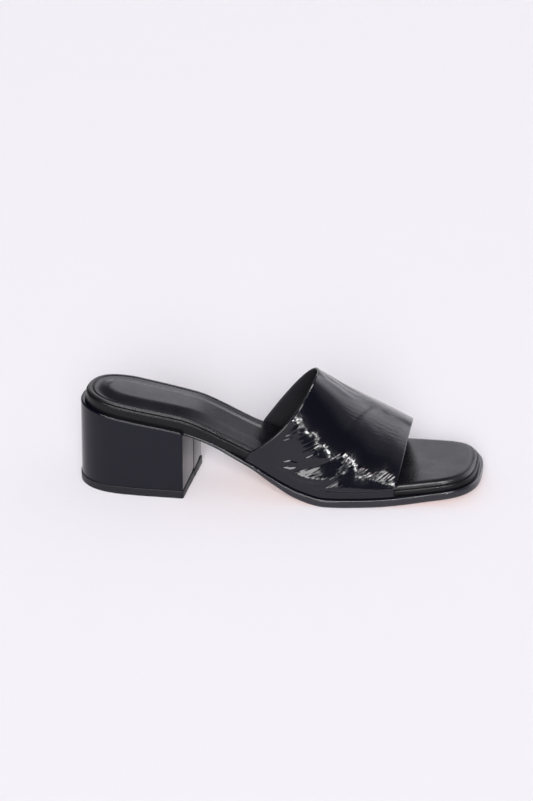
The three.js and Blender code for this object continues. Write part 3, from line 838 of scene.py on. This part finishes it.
def crease(anchors, width, height):
    """A ridge along a smooth line that fades out at both ends."""
    points = np.array(anchors) * (CHART_ALONG, CHART_OVER)
    run = np.concatenate([[0], np.cumsum(np.hypot(*np.diff(points, axis=0).T))])
    at = np.linspace(0, run[-1], CREASE_STEPS)
    line = np.stack([curve_through(run, points[:, k])(at) for k in (0, 1)], axis=-1)
    step = np.diff(line, axis=0)
    gap = chart[:, :, None, :] - line[:-1]
    part = np.clip((gap * step).sum(-1) / (step ** 2).sum(-1), 0, 1)
    distance = np.linalg.norm(gap - part[..., None] * step, axis=-1)
    nearest = distance.argmin(-1)[..., None]
    position = (nearest + np.take_along_axis(part, nearest, -1))[..., 0] / len(step)
    fade = np.sqrt(np.sin(np.pi * np.clip(position, CREASE_FADE, 1 - CREASE_FADE)))
    return height * fade * np.exp(-(np.take_along_axis(distance, nearest, -1)[..., 0] / width) ** 2)


def patch(along, across, reach_along, reach_over):
    """A soft-edged oval on the band, 1 inside and 0 outside."""
    away = (chart - (along * CHART_ALONG, across * CHART_OVER)) / (reach_along, reach_over)
    return np.exp(-((away ** 2).sum(-1)) ** 2)


CREASES = [
    {"name": "crescent ridge", "width": 3.2, "height": 1.05,
     "line": [(0.215, 0.04), (0.305, 0.06), (0.385, 0.095), (0.46, 0.15), (0.53, 0.24)]},
    {"name": "crescent trough", "width": 3.0, "height": -0.6,
     "line": [(0.235, 0.085), (0.305, 0.155), (0.37, 0.235), (0.426, 0.31), (0.483, 0.4)]},
    {"name": "eye, lower lid", "width": 1.2, "height": 0.5,
     "line": [(0.143, 0.03), (0.203, 0.043), (0.243, 0.092), (0.265, 0.15)]},
    {"name": "eye, upper lid", "width": 1.2, "height": 0.42,
     "line": [(0.149, 0.051), (0.195, 0.115), (0.253, 0.146)]},
    {"name": "slash", "width": 1.3, "height": 0.35, "line": [(0.485, 0.02), (0.541, 0.09), (0.585, 0.17)]},
    {"name": "slash beside it", "width": 1.2, "height": 0.25,
     "line": [(0.52, 0.02), (0.565, 0.08), (0.61, 0.15)]},
    {"name": "rear edge", "width": 2.4, "height": 0.4, "line": [(0.0, 0.14), (0.004, 0.26), (0.0, 0.43)]},
    {"name": "soft ridge by the crest", "width": 3.6, "height": 0.55,
     "line": [(0.002, 1.145), (0.092, 1.012), (0.21, 0.994), (0.337, 0.962), (0.443, 0.954)]},
    {"name": "trough beside it", "width": 3.0, "height": -0.45,
     "line": [(0.037, 1.279), (0.158, 1.24), (0.287, 1.17), (0.41, 1.13)]},
    {"name": "slanting fold", "width": 3.2, "height": 0.4,
     "line": [(0.394, 0.518), (0.452, 0.603), (0.514, 0.746), (0.609, 0.977)]},
    {"name": "its trough", "width": 2.4, "height": -0.3,
     "line": [(0.37, 0.56), (0.42, 0.66), (0.48, 0.79), (0.56, 0.99)]},
    {"name": "faint fold", "width": 4.0, "height": 0.22,
     "line": [(0.168, 0.265), (0.24, 0.408), (0.347, 0.572), (0.44, 0.692)]},
]
relief = sum(crease(row["line"], row["width"], row["height"]) for row in CREASES)

FOOT_ROLL, FOOT_ROLL_REACH, FOOT_ROLL_START, FOOT_ROLL_BLEND = 1.5, 4.0, 0.42, 0.2
rolls = smooth_step((chart[..., 0] / CHART_ALONG - FOOT_ROLL_START) / FOOT_ROLL_BLEND)
up = np.clip(chart[..., 1], 0, CHART_OVER) / FOOT_ROLL_REACH
relief = relief + FOOT_ROLL * rolls * up * np.exp(1 - up)
print(len(CREASES), "creases, from", round(float(relief.min()), 2), "to", round(float(relief.max()), 2), "mm")

# %% Patches of crinkles, and the brushed look near the crest
CRINKLES = [
    {"name": "rear patch", "along": 0.044, "over": 0.375, "reach": (2.6, 3.4), "depth": 0.12},
    {"name": "beside it", "along": 0.137, "over": 0.392, "reach": (3.4, 2.6), "depth": 0.2},
    {"name": "row, first", "along": 0.25, "over": 0.385, "reach": (4.0, 5.5), "depth": 0.22},
    {"name": "row, second", "along": 0.345, "over": 0.38, "reach": (4.0, 7.0), "depth": 0.25},
    {"name": "row, third", "along": 0.482, "over": 0.38, "reach": (5.0, 4.0), "depth": 0.3},
    {"name": "row, fine", "along": 0.68, "over": 0.3, "reach": (8.0, 4.5), "depth": 0.5},
    {"name": "front streaks", "along": 0.88, "over": 0.23, "reach": (8.0, 7.0), "depth": 0.9},
    {"name": "slashes by the rear edge", "along": 0.076, "over": 0.28, "reach": (2.2, 8.0), "depth": 0.8},
    {"name": "slashes below the row", "along": 0.256, "over": 0.27, "reach": (5.0, 5.0), "depth": 0.7},
    {"name": "crescent", "along": 0.42, "over": 0.15, "reach": (10.0, 7.0), "depth": 0.8},
    {"name": "crescent's feathered end", "along": 0.53, "over": 0.27, "reach": (4.0, 7.0), "depth": 1.0},
    {"name": "eye", "along": 0.19, "over": 0.07, "reach": (7.0, 5.0), "depth": 0.5},
    {"name": "double slash", "along": 0.55, "over": 0.1, "reach": (5.0, 7.0), "depth": 0.9},
]
BRUSHED = [
    {"name": "beside the crest, in front", "along": 0.62, "over": 0.9, "reach": (26, 20), "depth": 1.0},
    {"name": "over the crest, behind", "along": 0.4, "over": 1.1, "reach": (24, 14), "depth": 1.0},
    {"name": "by the front edge", "along": 0.85, "over": 0.75, "reach": (18, 20), "depth": 0.5},
]
BACKGROUND_CRINKLE, BACKGROUND_BRUSHED = 0.08, 0.08


def patches(rows):
    return sum(row["depth"] * patch(row["along"], row["over"], *row["reach"]) for row in rows)


crinkled = np.clip(patches(CRINKLES) + BACKGROUND_CRINKLE * (chart[..., 1] < 0.5 * CHART_OVER), 0, 1)
grained = np.clip(patches(BRUSHED) + BACKGROUND_BRUSHED, 0, 1)
CRINKLE_TILT, CRINKLE_PITCH, CRINKLE_LENGTH = math.radians(27), 1.5, 20
tilted = chart @ np.array([
    [math.cos(CRINKLE_TILT), math.sin(CRINKLE_TILT)], [-math.sin(CRINKLE_TILT), math.cos(CRINKLE_TILT)],
])
GRAIN_PITCH, GRAIN_LENGTH = 1.7, 13
marks = {
    "crinkled": crinkled, "grained": grained,
    "crinkle_across": tilted[..., 0] / CRINKLE_PITCH, "crinkle_down": tilted[..., 1] / CRINKLE_LENGTH,
    "grain_across": chart[..., 1] / GRAIN_PITCH, "grain_down": chart[..., 0] / GRAIN_LENGTH,
}
print("crinkles cover", round(float((crinkled > 0.3).mean() * 100)), "% of the band")

# %% [markdown]
# The wall goes on behind the creased face. Its margin is skived, so it turns in under the footbed in a tight
# bend, and the outer side of its cut edges is rounded by half the wall.

# %% Wall of the vamp
BAND_REACH, THINNEST_WALL = 90, 0.3


def grid_normals(grid):
    along = np.gradient(grid, axis=0)
    across = np.gradient(grid, axis=1)
    normal = np.cross(along, across)
    return normal / np.maximum(np.linalg.norm(normal, axis=-1, keepdims=True), 1e-9)


band = band + grid_normals(band) * relief[..., None]
normals = grid_normals(band)
edge_distance = np.minimum(alongs, 1 - alongs) * BAND_REACH
half_wall = VAMP_WALL / 2
rounded = half_wall * (1 - np.sqrt(np.clip(1 - (1 - np.clip(edge_distance / half_wall, 0, 1)) ** 2, 0, 1)))
outer_face = band - normals * rounded[:, None, None]
turn_end, strip_end = VAMP_TURN_STEPS + 1, VAMP_TURN_STEPS + STRIP_STEPS + 1
from_end = np.minimum(np.arange(band.shape[1]), np.arange(band.shape[1])[::-1])
wall = np.interp(from_end, [turn_end, strip_end], [SKIVED_MARGIN, VAMP_WALL])
inner_face = band - normals * np.maximum(wall[None, :] - rounded[:, None], THINNEST_WALL)[..., None]
rows, columns = band.shape[:2]


def grid_faces(rows, columns, first, outwards):
    faces = []
    for i in range(rows - 1):
        for j in range(columns - 1):
            a = first + i * columns + j
            quad = (a + columns, a + columns + 1, a + 1, a)
            faces.append(quad if outwards else quad[::-1])
    return faces


vamp_faces = grid_faces(rows, columns, 0, True) + grid_faces(rows, columns, rows * columns, False)
vamp_finish = [0] * ((rows - 1) * (columns - 1)) + [1] * ((rows - 1) * (columns - 1))
rim = list(range(columns - 1))
rim += [i * columns + columns - 1 for i in range(rows - 1)]
rim += [(rows - 1) * columns + j for j in range(columns - 1, 0, -1)]
rim += [i * columns for i in range(rows - 1, 0, -1)]
for k, a in enumerate(rim):
    b = rim[(k + 1) % len(rim)]
    vamp_faces.append((a, b, rows * columns + b, rows * columns + a))
    vamp_finish.append(2)
vamp = make_piece(
    "vamp_band", np.concatenate([outer_face.reshape(-1, 3), inner_face.reshape(-1, 3)]), vamp_faces,
    [patent, lining, painted_highlight_edge], crease_angle=50, material_of=vamp_finish,
    marks={name: np.tile(values.ravel(), 2) for name, values in marks.items()},
)
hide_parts("vamp")

# %% [markdown]
# ## Floor and light
#
# The shoe stands on a plain pale floor, lit by a broad flash near the camera and a soft tent above. The room
# is bright behind the shoe and darker in front, with soft windows past the toe and behind the heel, and only
# gloss mirrors it. The streaks on the patent leather are reflections too: a column of strip lamps that the
# crinkles break up, a low wide box on the near side, and a box above that draws the rounded edges.

# %% Floor
floor_mesh = bpy.data.meshes.new("floor")
floor_mesh.from_pydata([(-4, -4, 0), (4, -4, 0), (4, 8, 0), (-4, 8, 0)], [], [(0, 1, 2, 3)])
floor_mesh.materials.append(start_material("pale_paper", "#f4f2f7", 0.9)[0])
floor = bpy.data.objects.new("floor", floor_mesh)
bpy.context.scene.collection.objects.link(floor)

# %% The room
world = bpy.data.worlds.new("studio")
world.use_nodes = True
bpy.context.scene.world = world
bpy.context.scene.view_settings.view_transform = "Standard"
world.cycles_visibility.diffuse = False
tree = world.node_tree
sky = tree.nodes["Background"]
heading = add_node(tree, "ShaderNodeTexCoord").outputs["Generated"]


def towards(azimuth, elevation):
    """Unit vector at an azimuth from +X and an elevation, in degrees."""
    azimuth, elevation = math.radians(azimuth), math.radians(elevation)
    return Vector((
        math.cos(azimuth) * math.cos(elevation), math.sin(azimuth) * math.cos(elevation), math.sin(elevation),
    ))


DARK_ROOM, BACKDROP = 0.07, 1.1
WINDOWS = [
    {"name": "large, past the toe", "at": (38, 25), "brightness": 2.4, "core": 3, "rim": 35},
    {"name": "its glow on the walls", "at": (28, 32), "brightness": 0.6, "core": 10, "rim": 52},
    {"name": "behind the heel", "at": (95, 28), "brightness": 1.75, "core": 4, "rim": 18},
]
axes = add_node(tree, "ShaderNodeSeparateXYZ", inputs={"Vector": heading})
behind = add_node(tree, "ShaderNodeMapRange", {"interpolation_type": "SMOOTHSTEP"}, {
    "Value": axes.outputs["Y"], "From Min": 0.0, "From Max": 0.7, "To Min": 0.0, "To Max": BACKDROP,
})
low = add_node(tree, "ShaderNodeMapRange", {"interpolation_type": "SMOOTHSTEP"}, {
    "Value": axes.outputs["Z"], "From Min": 0.08, "From Max": 0.3, "To Min": 1.0, "To Max": 0.0,
})
glow = add_node(tree, "ShaderNodeMath", {"operation": "MULTIPLY_ADD"}, {
    0: behind.outputs["Result"], 1: low.outputs["Result"], 2: DARK_ROOM,
}).outputs["Value"]
for window in WINDOWS:
    facing = add_node(tree, "ShaderNodeVectorMath", {"operation": "DOT_PRODUCT"}, {
        0: heading, 1: towards(*window["at"]),
    })
    soft = add_node(tree, "ShaderNodeMapRange", {"interpolation_type": "SMOOTHSTEP"}, {
        "Value": facing.outputs["Value"],
        "From Min": math.cos(math.radians(window["rim"])), "From Max": math.cos(math.radians(window["core"])),
    })
    glow = add_node(tree, "ShaderNodeMath", {"operation": "MULTIPLY_ADD"}, {
        0: soft.outputs["Result"], 1: window["brightness"], 2: glow,
    }).outputs["Value"]
sky.inputs["Color"].default_value = linear("#f8f7ff")
tree.links.new(glow, sky.inputs["Strength"])

# %% Soft light on the floor, and lamps for the streaks
def add_lamp(name, kind, place, power, colour="#ffffff", **settings):
    """A lamp that faces the shoe from its place."""
    data = bpy.data.lights.new(name, kind)
    data.energy = power
    data.color = linear(colour)[:3]
    for key, value in settings.items():
        setattr(data, key, value)
    lamp = bpy.data.objects.new(name, data)
    lamp.location = place
    lamp.rotation_mode = "QUATERNION"
    lamp.rotation_quaternion = (place - LOOK_AT).to_track_quat("Z", "Y")
    bpy.context.scene.collection.objects.link(lamp)
    return lamp


SUNS = [
    {"name": "flash_fill", "place": back * 3, "power": 5.0, "spread": 30},
    {"name": "light_tent", "place": Vector((0, 0.2, 3)), "power": 1.1, "spread": 160},
]
for sun in SUNS:
    angle = math.radians(sun["spread"])
    lamp = add_lamp(sun["name"], "SUN", sun["place"], sun["power"], "#fffdff", angle=angle)
    lamp.visible_glossy = False

BOX_DISTANCE = 1.5


def add_box(name, azimuth, elevation, wide, high, brightness):
    """A soft box seen from the shoe at an angle, with its spread in degrees; only gloss mirrors it."""
    size = [2 * BOX_DISTANCE * math.tan(math.radians(spread / 2)) for spread in (wide, high)]
    power = brightness * math.pi * size[0] * size[1]
    place = LOOK_AT + BOX_DISTANCE * towards(azimuth, elevation)
    box = add_lamp(name, "AREA", place, power, shape="RECTANGLE", size=size[0], size_y=size[1])
    box.visible_diffuse = False


STRIP_AZIMUTH, STRIP_WIDE, STRIP_BRIGHTNESS = -60, 1.6, 60
STRIP_LAMPS = [(1.0, 3.2), (6.0, 1.6), (12.0, 3.4), (17.0, 3.4), (24.5, 3.0), (37.0, 20.0)]
for k, (elevation, high) in enumerate(STRIP_LAMPS):
    add_box(f"strip_lamp_{k}", STRIP_AZIMUTH, elevation, STRIP_WIDE, high, STRIP_BRIGHTNESS)
add_box("front_box", azimuth=-104, elevation=14, wide=40, high=18, brightness=10)
add_box("edge_box", azimuth=-100, elevation=68, wide=50, high=12, brightness=22)
print(len(STRIP_LAMPS) + 2, "boxes")
